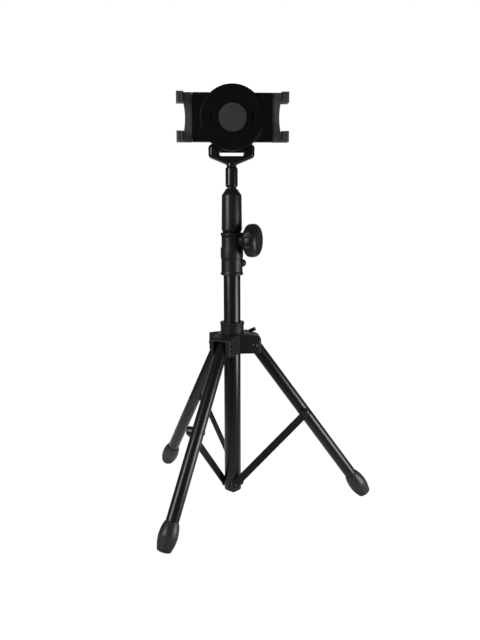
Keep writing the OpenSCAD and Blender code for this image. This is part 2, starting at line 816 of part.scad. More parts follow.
// Braces, drawn up their own axis
module brace_strip(bearing) {
    color([0.1, 0.1, 0.11]) up_brace(bearing) difference() {
        union() {
            translate([-strip_w / 2, -strip_out, 0]) cube([strip_w, strip_t, brace_len]);
            for (end = [0, brace_len]) translate([0, 0, end]) rod_along_y(eye_d / 2, -strip_out, -strip_in);
        }
        rod_along_y(rivet_d / 2 + turn_fit, -strip_out - over, -strip_in + over);
        translate([0, 0, brace_len])
            rod_along_y(rivet_d / 2 + fixed_fit, -strip_out - over, -strip_in + over);
    }
}

module brace_head(bearing) {
    color([0.16, 0.16, 0.17]) up_brace(bearing) translate([0, 0, brace_len]) {
        rod_along_y(rivet_d / 2, -strip_out, -strip_in);
        translate([0, -strip_out, 0]) rotate([90, 0, 0]) dome(rivet_head_d, rivet_head_h);
    }
}

// Telescope
module middle_tube() {
    color([0.09, 0.09, 0.10]) ring(middle_r, middle_bore, middle_z, middle_top);
}

module middle_guide() {
    outer = column_bore - slide_fit;
    color([0.2, 0.2, 0.21]) {
        ring(outer, middle_r + fixed_fit, middle_z, middle_z + middle_guide_len);
        ring(outer, middle_bore, middle_z - guide_cap, middle_z);
    }
}

module clutch_base() {
    bore = rod_r + slide_fit;
    color([0.14, 0.14, 0.15]) {
        ring(middle_bore - fixed_fit, bore, middle_top - base_plug_len, middle_top);
        ring(middle_r, bore, middle_top, middle_top + base_flange);
        ring(middle_r - face_gap, bore, middle_top + base_flange, base_top);
    }
}

// Split collet: wide below, narrow above, cut by slits from its top
module clutch_collet() {
    bore = rod_r + turn_fit;
    color([0.25, 0.25, 0.26]) difference() {
        rotate_extrude() polygon([[bore, collet_z], [middle_r - face_gap, collet_z],
                                  [bore + collet_wall, collet_top], [bore, collet_top]]);
        for (i = [0 : collet_slits - 1]) rotate([0, 0, 360 / collet_slits * i])
            translate([0, -collet_slit / 2, collet_z + collet_h / 3])
                cube([middle_od, collet_slit, collet_h]);
    }
}

module clutch_sleeve() {
    wide = sleeve_d / 2;
    mouth = sleeve_mouth_d / 2;
    inside = middle_r + slide_fit;
    throat = rod_r + turn_fit + collet_wall + slide_fit;
    color([0.1, 0.1, 0.11]) rotate_extrude()
        polygon([[inside, sleeve_z], [wide - sleeve_inset, sleeve_z], [wide, sleeve_z + sleeve_chamfer],
                 [wide - sleeve_draft, sleeve_top - sleeve_taper], [mouth, sleeve_top],
                 [rod_r + slide_fit, sleeve_top],
                 [rod_r + slide_fit, collet_top + face_gap], [throat, collet_top + face_gap],
                 [inside, collet_z]]);
}

module inner_rod() {
    color([0.09, 0.09, 0.10]) ring(rod_r, rod_r - tube_wall, rod_z, rod_top);
}

module rod_guide() {
    outer = middle_bore - slide_fit;
    color([0.2, 0.2, 0.21]) {
        ring(outer, rod_r + fixed_fit, rod_z, rod_z + rod_guide_len);
        ring(outer, rod_r - tube_wall, rod_z - guide_cap, rod_z);
    }
}

module top_barrel() {
    wide = barrel_d / 2;
    inset = wide - barrel_chamfer;
    color([0.07, 0.07, 0.08]) difference() {
        rotate_extrude() polygon([[0, barrel_z], [inset, barrel_z], [wide, barrel_z + barrel_chamfer],
                                  [wide, barrel_top - barrel_chamfer], [inset, barrel_top],
                                  [0, barrel_top]]);
        rod_along_z(rod_r + fixed_fit, barrel_z - over, rod_top);
        rod_along_z(stem_d / 2 + turn_fit, stem_z, barrel_top + over);
    }
}

// Tilt yoke: front outline with two ears and tapering flanks, met by a rounded side outline
module yoke_front() {
    half = yoke_w / 2;
    slot = yoke_slot_w / 2;
    top = knuckle_d / 2;
    shoulder = yoke_side + top;
    boss = yoke_boss_d / 2;
    difference() {
        union() {
            translate([0, top - shoulder / 2]) rounded_rect(yoke_w, shoulder, yoke_round);
            polygon([[-half + yoke_round / 2, -yoke_slot_depth], [-half + yoke_round / 2, -yoke_side],
                     [-boss, -yoke_flank], [-boss, -tilt_above], [boss, -tilt_above],
                     [boss, -yoke_flank], [half - yoke_round / 2, -yoke_side],
                     [half - yoke_round / 2, -yoke_slot_depth]]);
        }
        translate([0, (top - yoke_slot_depth) / 2 + yoke_round])
            rounded_rect(yoke_slot_w, top + yoke_slot_depth + 2 * yoke_round, yoke_round / 2);
    }
}

module tilt_yoke() {
    half = yoke_w / 2;
    color([0.06, 0.06, 0.07]) difference() {
        translate([0, 0, tilt_z]) union() {
            intersection() {
                translate([0, knuckle_d / 2, 0]) rotate([90, 0, 0]) linear_extrude(knuckle_d) yoke_front();
                union() {
                    rod_along_x(knuckle_d / 2, -half, half);
                    translate([-half, -knuckle_d / 2, -tilt_above]) cube([yoke_w, knuckle_d, tilt_above]);
                }
            }
            rod_along_z(yoke_boss_d / 2, -tilt_above, -yoke_side - yoke_round / 2);
            rod_along_z(stem_d / 2, stem_z + face_gap - tilt_z, -tilt_above);
        }
        translate([0, 0, tilt_z]) rod_along_x(tilt_pin_d / 2 + fixed_fit, -half - over, half + over);
    }
}

module tilt_pin() {
    end = yoke_w / 2 - tilt_pin_inset;
    color([0.3, 0.3, 0.31]) translate([0, 0, tilt_z]) rod_along_x(tilt_pin_d / 2, -end, end);
}

// Tilt arm: middle knuckle, neck up behind the holder, and a pivot boss
module tilt_arm() {
    knuckle = yoke_slot_w / 2 - face_gap;
    boss_front = holder_offset - face_gap;
    color([0.08, 0.08, 0.09]) difference() {
        union() {
            translate([0, 0, tilt_z]) rod_along_x(arm_knuckle_d / 2, -knuckle, knuckle);
            translate([-arm_neck_w / 2, -arm_knuckle_d / 2, tilt_z])
                cube([arm_neck_w, arm_neck_t, holder_above]);
            translate([0, 0, holder_z]) rod_along_y(arm_boss_d / 2, -boss_front, arm_boss_back);
        }
        translate([0, 0, tilt_z]) rod_along_x(tilt_pin_d / 2 + turn_fit, -yoke_w, yoke_w);
        translate([0, 0, holder_z])
            rod_along_y(pivot_d / 2 + fixed_fit, -holder_offset - over, arm_boss_back + over);
    }
}

// Pivot on which the holder turns: dome head behind the arm, nut inside the body
nut_y = bay_y + 2 * face_gap;

module pivot_bolt() {
    color([0.2, 0.2, 0.21]) translate([0, 0, holder_z]) {
        rod_along_y(pivot_d / 2, -nut_y - pivot_nut_h, arm_boss_back);
        translate([0, arm_boss_back, 0]) rotate([-90, 0, 0]) dome(pivot_head_d, pivot_head_h);
    }
}

module pivot_nut() {
    color([0.5, 0.5, 0.52]) translate([0, -nut_y, holder_z]) rotate([90, 0, 0]) difference() {
        hexagon(pivot_nut_af, pivot_nut_h);
        rod_along_z(pivot_d / 2 + fixed_fit, -over, pivot_nut_h + over);
    }
}

// Tablet holder: a tray whose bay is open at both ends for the jaws, closed by the front cover
module body_outline() {
    circle(d = disc_d);
    rounded_rect(body_w, body_h, body_round);
}

module case_screw_places() {
    for (x = [-1, 1], z = [-1, 1]) translate([x * case_screw_x, z * case_screw_z]) children();
}

module holder_back() {
    color([0.05, 0.05, 0.06]) difference() {
        union() {
            difference() {
                facing(holder_offset, cover_y) body_outline();
                facing(bay_y, cover_y + over) square([body_w + 2 * over, bay_h], center = true);
            }
            for (side = [-1, 1]) facing(bay_y - over, cover_y - face_gap)
                translate([side * (spring_x - hook_len / 2), 0]) circle(r = hook_len / 2 - face_gap);
        }
        facing(holder_offset - over, bay_y + over) circle(r = pivot_d / 2 + turn_fit);
        facing(holder_offset - over, cover_y + over)
            case_screw_places() circle(d = case_screw_d + 2 * fixed_fit);
        facing(holder_offset - over, holder_offset + case_head_h)
            case_screw_places() circle(d = case_head_d + 2 * fixed_fit);
    }
}

// One curved recess beside the pad
module curved_recess() {
    far = recess_r + recess_w;
    intersection() {
        difference() {
            circle(r = recess_r + recess_w / 2);
            circle(r = recess_r - recess_w / 2);
        }
        polygon([[0, 0], [far, -far * tan(recess_sweep)], [far, far * tan(recess_sweep)]]);
    }
}

module holder_front() {
    wide = disc_d / 2;
    color([0.05, 0.05, 0.06]) difference() {
        union() {
            facing(cover_y, face_y) body_outline();
            translate([0, -face_y, holder_z]) rotate([90, 0, 0]) rotate_extrude()
                polygon([[0, 0], [wide, 0], [wide, disc_rise - disc_chamfer],
                         [wide - disc_chamfer, disc_rise], [0, disc_rise]]);
        }
        facing(disc_y - pad_recess, disc_y + over) circle(d = pad_d + 2 * fixed_fit);
        for (side = [0, 180]) facing(disc_y - recess_depth, disc_y + over) rotate(side) curved_recess();
        facing(cover_y - over, cover_y + cover_t / 2)
            case_screw_places() circle(d = case_screw_d + 2 * fixed_fit);
    }
}

module centre_pad() {
    color([0.22, 0.22, 0.22]) facing(disc_y - pad_recess, disc_y + pad_rise) circle(d = pad_d);
}

module holder_screws() {
    color([0.4, 0.4, 0.42]) {
        facing(holder_offset, holder_offset + case_head_h) case_screw_places() circle(d = case_head_d);
        facing(holder_offset + case_head_h, cover_y + cover_t / 2)
            case_screw_places() circle(d = case_screw_d);
    }
}

// Jaws: face plate with two prongs, and rails that run in the body's bay
module jaw_plate() {
    dip_r = (prong_z * prong_z + web_dip * web_dip) / (2 * web_dip);
    difference() {
        translate([jaw_x, -jaw_h / 2]) square([jaw_end - jaw_x, jaw_h]);
        translate([web_x, -prong_z]) square([jaw_end, 2 * prong_z]);
        intersection() {
            translate([web_x - web_dip + dip_r, 0]) circle(r = dip_r, $fn = 2 * $fn);
            translate([web_x - 2 * web_dip, -prong_z]) square([jaw_end, 2 * prong_z]);
        }
    }
}

module jaw_rails() {
    half = bay_h / 2 - face_gap;
    for (z = [-half, half - rail_h]) translate([rail_x, z]) square([jaw_x - rail_x, rail_h]);
    translate([bar_x, -half]) square([bar_w + over, 2 * half]);
}

// Finger wall seen from above: outer edge rounded at the front
module finger_section() {
    translate([jaw_end - finger_wall, jaw_face_y - over])
        square([finger_wall, finger_reach + over - finger_round]);
    translate([jaw_end - finger_wall, jaw_face_y]) square([finger_wall - finger_round, finger_reach]);
    translate([jaw_end - finger_round, finger_y - finger_round]) circle(r = finger_round);
}

module prong_places() {
    for (z = [-jaw_h / 2, prong_z]) translate([0, 0, holder_z + z]) children();
}

module jaw() {
    color([0.12, 0.12, 0.13]) {
        facing(jaw_y, jaw_face_y) jaw_plate();
        facing(bay_y + face_gap, cover_y - face_gap) jaw_rails();
        prong_places() mirror([0, 1, 0]) linear_extrude(prong_h) finger_section();
    }
}

// Rubber grip: ridges run from the plate to the fingertip
module grip_section() {
    inner = jaw_end - finger_wall - grip_t;
    pitch = prong_h / grip_ridges;
    difference() {
        translate([inner, 0]) square([grip_t, prong_h]);
        for (i = [1 : grip_ridges - 1]) translate([inner, pitch * i])
            polygon([[-over, -grip_groove], [grip_groove, 0], [-over, grip_groove]]);
    }
}

module grips() {
    color([0.16, 0.16, 0.16]) prong_places() translate([0, -jaw_face_y, 0]) rotate([90, 0, 0])
        linear_extrude(finger_reach - finger_round / 2) grip_section();
}

// Jaw spring: wound wall with a straight hook at each end
module spring() {
    outer = spring_d / 2;
    from = spring_x + hook_len;
    to = bar_x - hook_len;
    color([0.6, 0.6, 0.62]) translate([0, -spring_y, holder_z]) rotate([0, 90, 0]) {
        ring(outer, outer - spring_wall, from, to);
        for (end = [from, to])
            rod_along_z(outer - spring_wall / 2, end - spring_wall / 2, end + spring_wall / 2);
        rod_along_z(hook_d / 2, spring_x, from);
        rod_along_z(hook_d / 2, to, bar_x - face_gap);
    }
}

module left_side() { mirror([1, 0, 0]) children(); }

outer_tube();
bottom_spider();
spider_rivets();
column_collar();
collar_bush();
collar_screw();
height_knob();
knob_stud();
leg_hub();
hub_bolts();
hub_nuts();
wing_head();
wing_stud();
leg_tube(right);  // right_leg_tube
leg_plug(right);  // right_leg_plug
foot(right);  // right_foot
leg_clip(right);  // right_leg_clip
leg_rivet(right);  // right_leg_rivet
leg_tube(front);  // front_leg_tube
leg_plug(front);  // front_leg_plug
foot(front);  // front_foot
leg_clip(front);  // front_leg_clip
leg_rivet(front);  // front_leg_rivet
leg_tube(rear);  // rear_leg_tube
leg_plug(rear);  // rear_leg_plug
foot(rear);  // rear_foot
leg_clip(rear);  // rear_leg_clip
leg_rivet(rear);  // rear_leg_rivet
brace_strip(right);  // right_brace_strip
brace_head(right);  // right_brace_head
brace_strip(front);  // front_brace_strip
brace_head(front);  // front_brace_head
brace_strip(rear);  // rear_brace_strip
brace_head(rear);  // rear_brace_head
middle_tube();
middle_guide();
clutch_base();
clutch_collet();
clutch_sleeve();
inner_rod();
rod_guide();
top_barrel();
tilt_yoke();
tilt_pin();
tilt_arm();
pivot_bolt();
pivot_nut();
holder_back();
holder_front();
centre_pad();
holder_screws();
left_side() jaw();  // left_jaw
left_side() grips();  // left_grips
jaw();  // right_jaw
grips();  // right_grips
left_side() spring();  // left_spring
spring();  // right_spring
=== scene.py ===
"""Looks of an adjustable tablet floor stand, dressed on its CAD frame."""

import bmesh
import bpy
import numpy as np
from mathutils import Matrix, Vector


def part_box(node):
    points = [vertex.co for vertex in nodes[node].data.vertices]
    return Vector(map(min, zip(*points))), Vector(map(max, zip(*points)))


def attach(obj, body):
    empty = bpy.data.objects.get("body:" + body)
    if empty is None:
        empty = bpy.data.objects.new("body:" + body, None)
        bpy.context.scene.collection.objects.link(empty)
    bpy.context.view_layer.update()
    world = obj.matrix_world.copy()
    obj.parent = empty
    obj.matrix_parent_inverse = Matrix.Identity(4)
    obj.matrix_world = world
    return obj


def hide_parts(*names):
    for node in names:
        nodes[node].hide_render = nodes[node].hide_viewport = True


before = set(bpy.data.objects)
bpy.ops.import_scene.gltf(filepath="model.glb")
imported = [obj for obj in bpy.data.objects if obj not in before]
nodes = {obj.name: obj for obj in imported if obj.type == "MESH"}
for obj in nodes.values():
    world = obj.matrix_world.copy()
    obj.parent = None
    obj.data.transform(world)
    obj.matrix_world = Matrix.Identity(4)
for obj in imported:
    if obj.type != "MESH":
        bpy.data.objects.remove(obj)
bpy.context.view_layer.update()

MM = 0.001
UP = np.array([0.0, 0.0, 1.0])
RIGHTWARDS, FORWARDS, BACKWARDS = (1.0, 0.0, 0.0), (0.0, -1.0, 0.0), (0.0, 1.0, 0.0)
LEGS = {"right": 0.0, "front": -120.0, "rear": 120.0}

# Sizes of the stand, in millimetres and degrees, fitted to the CAD frame: _R is a radius, _Z a lower
# end or a centre's height, _TOP an upper end, _H a height from the seat or rim
COLUMN_R, MIDDLE_R, ROD_R, LEG_R, WALL, FIT = 15.0, 12.7, 8.0, 11.0, 1.2, 0.02
COLUMN_Z, COLUMN_TOP = 44.5, 486.5
MIDDLE_Z, MIDDLE_TOP = 63.1, 505.1
ROD_Z, ROD_TOP = 67.5, 588.5
COLLAR_Z, COLLAR_TOP, COLLAR_SHELF_Z = 419.6, 494.8, 488.8
COLLAR_NECK_R, COLLAR_WAIST_R, COLLAR_FLANGE_R, BUSH_R = 18.3, 18.9, 19.9, 13.0
SLEEVE_Z, SLEEVE_TOP, SLEEVE_BORE_R, COLLET_TOP = 495.1, 570.9, 8.3, 558.4
BARREL_Z, BARREL_TOP, BARREL_R = 573.5, 608.7, 10.8
KNOB_Z, KNOB_BEARING, KNOB_BOSS_R, KNOB_BOSS_END, KNOB_BORE_R = 481.048, -22.0, 10.5, 22.6, 4.05
KNOB_R, KNOB_BACK, KNOB_FACE, KNOB_CROWN_R = 30.0, 22.9, 51.9, 13.63
DOME_Z, DOME_R, DOME_H, DOME_BOSS_END, DOME_BORE_R = 441.45, 7.0, 6.5, 19.7, 2.0
PIVOT_R, PIVOT_Z, LEG_TILT = 40.0, 294.122, 35.9
LEG_LEN, LEG_HEAD, CLIP_AT, TAIL_FACE = 356.4, 7.0, 157.0, 11.3
BOOT_FLOOR, SOLE_R, SOLE_RIM, SOLE_H, BELLY_R, BELLY, CUFF = 12.0, 12.3, 3.0, 5.4, 16.2, 24.0, 46.0
BRACE_Z, BRACE_LEN, BRACE_TILT, STRIP_OUT = 32.8, 188.242, 44.551, 18.4
BRACE_RIVET_R, BRACE_RIVET_H, CLIP_RIVET_R, CLIP_RIVET_H = 6.75, 2.2, 4.2, 1.1
SPIDER_R, SPIDER_RIM_Z, SPIDER_HOLLOW_Z, SPIDER_TOP = 15.3, 21.7, 23.5, 58.5
ARM_HALF, BOLT_HEAD_R, BOLT_HEAD_H, BOLT_R, NUT_H = 18.9, 5.0, 2.0, 3.0, 2.5
TILT_Z, YOKE_HALF_WIDE, YOKE_HALF_DEEP, SLOT_HALF, SLOT_FLOOR = 638.9, 40.1, 8.7, 20.7, -12.0
PIN_R, PIN_HALF = 3.0, 40.3
HOLDER_Z, PAD_R, PAD_SEAT, PAD_FACE = 689.6, 23.8, 29.3, 32.0
GRIP_FACE, GRIP_BACK, GRIP_NEAR, GRIP_FAR, GRIP_TALL = 82.4, 89.8, 25.3, 41.0, 17.6
GRIP_FEET = (-40.9, 23.3)
WIRE_R, WIRE_ROOM, SPRING_TURNS = 0.65, 0.7, 17

# Small edges and seats, in millimetres, and limits of shading, in degrees
LIP, SUNK, BOSS_RIM, BOSS_SUNK, BORE_DEEP = 0.5, 0.4, 0.9, 0.05, 3.0
PIECE_SHARP, NODE_SHARP = 38.0, 28.0

# Patterns of the finishes: scales per metre, what each adds to the roughness and the bump, and the
# tones of dust and of a touch of blue
CLOUD_SCALE, SPECK_SCALE, STREAK_SCALE = 23.0, 640.0, (900.0, 900.0, 5.0)
CLOUD_ROUGH, GRAIN_ROUGH, SPECK_ROUGH = 0.14, 0.08, 0.10
GRAIN_STRENGTH, STREAK_HEIGHT = 0.55, 0.35
DUST_TONE, BLUE = 0.30, 0.03


class Wire:
    """A shader value; arithmetic on it adds Math nodes to its tree."""

    def __init__(self, finish, socket):
        self.finish, self.socket = finish, socket

    def maths(self, operation, first, second):
        return self.finish.node("ShaderNodeMath", {"operation": operation}, {0: first, 1: second})

    def __add__(self, other):
        return self.maths("ADD", self, other)

    def __radd__(self, other):
        return self.maths("ADD", other, self)

    def __sub__(self, other):
        return self.maths("SUBTRACT", self, other)

    def __rsub__(self, other):
        return self.maths("SUBTRACT", other, self)

    def __mul__(self, other):
        return self.maths("MULTIPLY", self, other)

    def __rmul__(self, other):
        return self.maths("MULTIPLY", other, self)

    def __abs__(self):
        return self.maths("ABSOLUTE", self, 0.0)

    def at_most(self, other):
        return self.maths("MINIMUM", self, other)


class Finish:
    """The node tree of a material or world; node() adds any node and returns a Wire from it."""

    def __init__(self, owner):
        owner.use_nodes = True
        self.tree = owner.node_tree
        self.tree.nodes.clear()

    def node(self, kind, settings=None, sockets=None, output=0):
        made = self.tree.nodes.new(kind)
        for key, value in (settings or {}).items():
            setattr(made, key, value)
        for key, value in (sockets or {}).items():
            if isinstance(value, Wire):
                self.tree.links.new(value.socket, made.inputs[key])
            else:
                made.inputs[key].default_value = value
        return Wire(self, made.outputs[output]) if made.outputs else None

    def noise(self, where, scale, detail, rough):
        return self.node("ShaderNodeTexNoise", None,
                         {"Vector": where, "Scale": scale, "Detail": detail, "Roughness": rough})

    def ramp(self, value, low, high):
        """0 below low, 1 above high, straight between."""
        return self.node("ShaderNodeMapRange", {"clamp": True},
                         {"Value": value, "From Min": low, "From Max": high})

    def blend(self, amount, first, second):
        """Mix of two colours by amount."""
        return self.node("ShaderNodeMix", {"data_type": "RGBA"}, {0: amount, 6: first, 7: second}, 2)

    def part(self, where, axis):
        """One coordinate of a vector."""
        return self.node("ShaderNodeSeparateXYZ", None, {0: where}, axis)

    def rays(self):
        """1 for a ray that looks straight or through glass, and 1 for a glossy one."""
        path = self.node("ShaderNodeLightPath").socket.node.outputs
        eye, glossy, through = [Wire(self, path[name]) for name in
                                ("Is Camera Ray", "Is Glossy Ray", "Is Transmission Ray")]
        return (eye + through).at_most(1.0), glossy


def grey(level, tint=0.0):
    """Neutral colour, with a touch of blue where tint is above 0."""
    return (level * (1 - tint), level, level * (1 + tint), 1.0)


def coated(name, tone, rough, grain, depth, specular=0.5, spread=0.18, metal=0.0, own=False,
           streak=0.0, dust=0.03, soft=0.0, dull=None):
    """Moulded, painted or plated finish.

    Base tone drifts by spread over a few centimetres and carries faint pale dust; roughness drifts
    with it; a fine grain of the given scale (per metre) and depth (in metres) is raised as a bump.
    With own set, the pattern follows the piece's own axes; streak is how far long lines down them
    change the roughness. Soft rounds the edges' shading by that many metres. Dull gives two heights
    on the piece's own axis, in metres, and the roughness added below them."""
    material = bpy.data.materials.new(name)
    f = Finish(material)
    if own:
        where = f.node("ShaderNodeAttribute", {"attribute_name": "own"}, None, "Vector")
    else:
        where = f.node("ShaderNodeTexCoord", None, None, "Object")
    cloud = f.noise(where, CLOUD_SCALE, 4.0, 0.6)
    fine = f.noise(where, grain, 2.0, 0.55)
    specks = f.ramp(f.noise(where, SPECK_SCALE, 3.0, 0.65), 0.66, 0.80)
    shade = f.blend(f.ramp(cloud, 0.3, 0.7),
                    grey(tone * (1 - spread), BLUE), grey(tone * (1 + spread), BLUE))
    colour = f.blend(specks * dust, shade, grey(DUST_TONE))
    gloss = rough + (cloud - 0.5) * CLOUD_ROUGH + (fine - 0.5) * GRAIN_ROUGH + specks * SPECK_ROUGH
    height = fine
    if streak:
        drawn = f.node("ShaderNodeMapping", None, {"Vector": where, "Scale": STREAK_SCALE})
        lines = f.noise(drawn, 1.0, 2.0, 0.6)
        gloss = gloss + (lines - 0.5) * streak
        height = fine + lines * STREAK_HEIGHT
    if dull:
        low, high, added = dull
        gloss = gloss + (1 - f.ramp(f.part(where, "Z"), low, high)) * added
    bump = {"Strength": GRAIN_STRENGTH, "Distance": depth, "Height": height}
    if soft:
        bump["Normal"] = f.node("ShaderNodeBevel", {"samples": 6}, {"Radius": soft})
    shader = f.node("ShaderNodeBsdfPrincipled", None,
                    {"Base Color": colour, "Roughness": gloss, "Metallic": metal,
                     "Specular IOR Level": specular,
                     "Normal": f.node("ShaderNodeBump", None, bump)})
    f.node("ShaderNodeOutputMaterial", None, {"Surface": shader})
    return material


# Finishes: tone, roughness, grain per metre, depth of grain in metres
TUBE_PAINT = coated("satin_black_tube_paint", 0.0040, 0.29, 1500.0, 0.000003,
                    own=True, streak=0.03)
STRIP_PAINT = coated("matt_black_strip_paint", 0.0050, 0.50, 1300.0, 0.00003,
                     specular=0.3, soft=0.0006)
MOULDED = coated("spark_textured_black_plastic", 0.0070, 0.40, 2300.0, 0.00004,
                 specular=0.42, soft=0.0011)
HUB_PLASTIC = coated("dull_black_hub_plastic", 0.0100, 0.52, 2300.0, 0.00004,
                     specular=0.26, soft=0.0026)
SATIN = coated("satin_black_clutch_plastic", 0.0055, 0.35, 1900.0, 0.000006)
GLOSS = coated("polished_black_casting", 0.0042, 0.27, 900.0, 0.000001,
               spread=0.12, dust=0.02, soft=0.0010)
HOLDER_BLACK = coated("deep_black_holder_plastic", 0.0022, 0.46, 2600.0, 0.00005,
                      specular=0.14, dust=0.01, soft=0.0010)
JAW_GREY = coated("charcoal_jaw_plastic", 0.0460, 0.52, 2300.0, 0.00006,
                  specular=0.30, soft=0.0009)
PAD_RUBBER = coated("grey_pad_rubber", 0.0290, 0.80, 1800.0, 0.00010, specular=0.2)
FOOT_RUBBER = coated("black_foot_rubber", 0.0140, 0.40, 1500.0, 0.00003,
                     specular=0.6, own=True, dull=(0.019, 0.025, 0.30))
GRIP_RUBBER = coated("dark_grip_rubber", 0.0400, 0.66, 1700.0, 0.00008, specular=0.3)
BLACK_STEEL = coated("blackened_steel", 0.0350, 0.26, 1500.0, 0.00001, metal=0.7)
BARE_STEEL = coated("zinc_plated_steel", 0.4800, 0.32, 1500.0, 0.00003,
                    metal=1.0, spread=0.12, dust=0.0)


def unit(vector):
    """A vector, or each row of an array of them, at length 1."""
    vector = np.asarray(vector, float)
    return vector / np.linalg.norm(vector, axis=-1, keepdims=True)


def folded(angle, pitch):
    """Angle from the nearest multiple of pitch."""
    return (angle + pitch / 2) % pitch - pitch / 2


def ease(t):
    """Smooth step from 0 to 1: t^2 (3 - 2 t)."""
    return t * t * (3 - 2 * t)


def full_turn(count):
    """Angles once round, as a column."""
    return np.linspace(0.0, 2 * np.pi, count, endpoint=False)[:, None]


def columns(count, *parts):
    """Grid of count rows from parts side by side; a number fills one column."""
    parts = [np.atleast_2d(part) for part in parts]
    return np.concatenate([np.broadcast_to(part, (count, part.shape[1])) for part in parts], 1)


def place(origin, axis, side=UP):
    """4x4 place in millimetres: Z along axis, X as near to side as it can be."""
    z = unit(axis)
    x = unit(np.asarray(side, float) - np.dot(side, z) * z)
    out = np.eye(4)
    out[:3, 0], out[:3, 1], out[:3, 2], out[:3, 3] = x, np.cross(z, x), z, origin
    return out


def bearing(degrees):
    """Outward and sideways directions of a leg's bearing."""
    a = np.radians(degrees)
    return np.array([np.cos(a), np.sin(a), 0.0]), np.array([-np.sin(a), np.cos(a), 0.0])


def leg_place(degrees, down):
    """Place on a leg's axis, down millimetres below its pivot, Z pointing up the leg."""
    out, _ = bearing(degrees)
    tilt = np.radians(LEG_TILT)
    axis = np.sin(tilt) * out - np.cos(tilt) * UP
    return place(PIVOT_R * out + PIVOT_Z * UP + axis * down, -axis, out)


def rounded(rows, steps, closed=False):
    """Polyline whose corners are circular arcs, from rows of two coordinates and a corner radius.

    Each arc touches both edges radius / tan(half the corner's angle) from the corner, held to 0.48
    of either edge, and its points are the spherical blend of the two radii that end on the edges."""
    rows = np.asarray(rows, float)
    corners, radii = rows[:, :2], rows[:, 2]
    if closed:
        walk = zip(np.roll(corners, 1, 0), corners, np.roll(corners, -1, 0), radii)
        out = []
    else:
        walk = zip(corners[:-2], corners[1:-1], corners[2:], radii[1:-1])
        out = [corners[:1]]
    t = np.linspace(0.0, 1.0, steps)[:, None]
    for before, corner, after, radius in walk:
        a, b = unit(before - corner), unit(after - corner)
        shorter = min(np.linalg.norm(before - corner), np.linalg.norm(after - corner))
        half = np.arccos(np.clip(np.dot(a, b), -1.0, 1.0)) / 2
        reach = min(radius / np.tan(half), 0.48 * shorter)
        turn = np.pi - 2 * half
        if reach < 1e-4 or turn < 1e-3:
            out.append(corner[None])
            continue
        centre = corner + unit(a + b) * reach / np.cos(half)
        start, end = corner + a * reach - centre, corner + b * reach - centre
        arc = np.sin((1 - t) * turn) * start + np.sin(t * turn) * end
        out.append(centre + arc / np.sin(turn))
    if not closed:
        out.append(corners[-1:])
    return np.vstack(out)


def skin(own, where=None, ring=False, floor=False):
    """Mesh through a grid of points, closed round its rows and, with ring set, its columns too.

    Points are millimetres in the piece's own axes, which attribute "own" keeps in metres; with
    floor set, points below the floor are laid on it."""
    where = np.eye(4) if where is None else where
    rows, cols = own.shape[:2]
    a, b = np.meshgrid(np.arange(rows), np.arange(cols if ring else cols - 1), indexing="ij")
    c, d = (a + 1) % rows, (b + 1) % cols
    quads = np.stack([a * cols + b, c * cols + b, c * cols + d, a * cols + d], -1).reshape(-1, 4)
    flat = own.reshape(-1, 3)
    world = flat @ where[:3, :3].T + where[:3, 3]
    if floor:
        world[:, 2] = np.maximum(world[:, 2], 0.0)
    mesh = bpy.data.meshes.new("skin")
    mesh.from_pydata((world * MM).tolist(), [], quads.tolist())
    kept = mesh.attributes.new("own", "FLOAT_VECTOR", "POINT")
    kept.data.foreach_set("vector", (flat * MM).ravel())
    return mesh


def skin_around(r, u, z, where=None, ring=False, floor=False):
    """Mesh through the points (r cos u, r sin u, z), r, u and z filling one grid."""
    r, u, z = np.broadcast_arrays(r, u, z)
    return skin(np.stack([r * np.cos(u), r * np.sin(u), z], -1), where, ring, floor)


def turned(profile, where=None, around=96, ring=False, floor=False):
    """Surface of revolution: profile point (r, z) at angle u becomes (r cos u, r sin u, z)."""
    r, z = np.asarray(profile, float).T
    return skin_around(r, full_turn(around), z, where, ring, floor)


def dense(outline, gap):
    """Closed outline with points added evenly along its straight runs, gap apart at most."""
    ahead = np.roll(outline, -1, 0) - outline
    count = np.maximum(np.ceil(np.linalg.norm(ahead, axis=1) / gap).astype(int), 1)
    step = np.arange(count.sum()) - np.repeat(np.cumsum(count) - count, count)
    share = (step / np.repeat(count, count))[:, None]
    return np.repeat(outline, count, 0) + np.repeat(ahead, count, 0) * share


def slab(outline, near, far, edge, where=None, steps=5, rise=None):
    """Flat-faced solid: the closed outline is carried from near to far.

    At each rim it is drawn in along a quarter ellipse, edge wide (one value, or one for each point)
    and rise tall (as wide, if not given); each face is one cap."""
    outline = np.asarray(outline, float)
    rise = edge if rise is None else rise
    width = np.broadcast_to(edge, len(outline))[:, None]
    ahead, behind = np.roll(outline, -1, 0) - outline, outline - np.roll(outline, 1, 0)
    along = unit(unit(ahead) + unit(behind))
    inward = np.stack([-along[:, 1], along[:, 0]], -1)
    a = np.linspace(0.0, np.pi / 2, steps)
    inset = np.concatenate([1 - np.sin(a), 1 - np.cos(a)])
    level = np.concatenate([near + rise * (1 - np.cos(a)), far - rise + rise * np.sin(a)])
    ring = outline[:, None, :] + inward[:, None, :] * (width * inset)[:, :, None]
    height = np.broadcast_to(level[None, :, None], ring.shape[:2] + (1,))
    mesh = skin(np.concatenate([ring, height], -1), where)
    form = bmesh.new()
    form.from_mesh(mesh)
    points, cols = list(form.verts), len(level)
    form.faces.new(points[::cols][::-1])
    form.faces.new(points[cols - 1::cols])
    form.to_mesh(mesh)
    form.free()
    return mesh


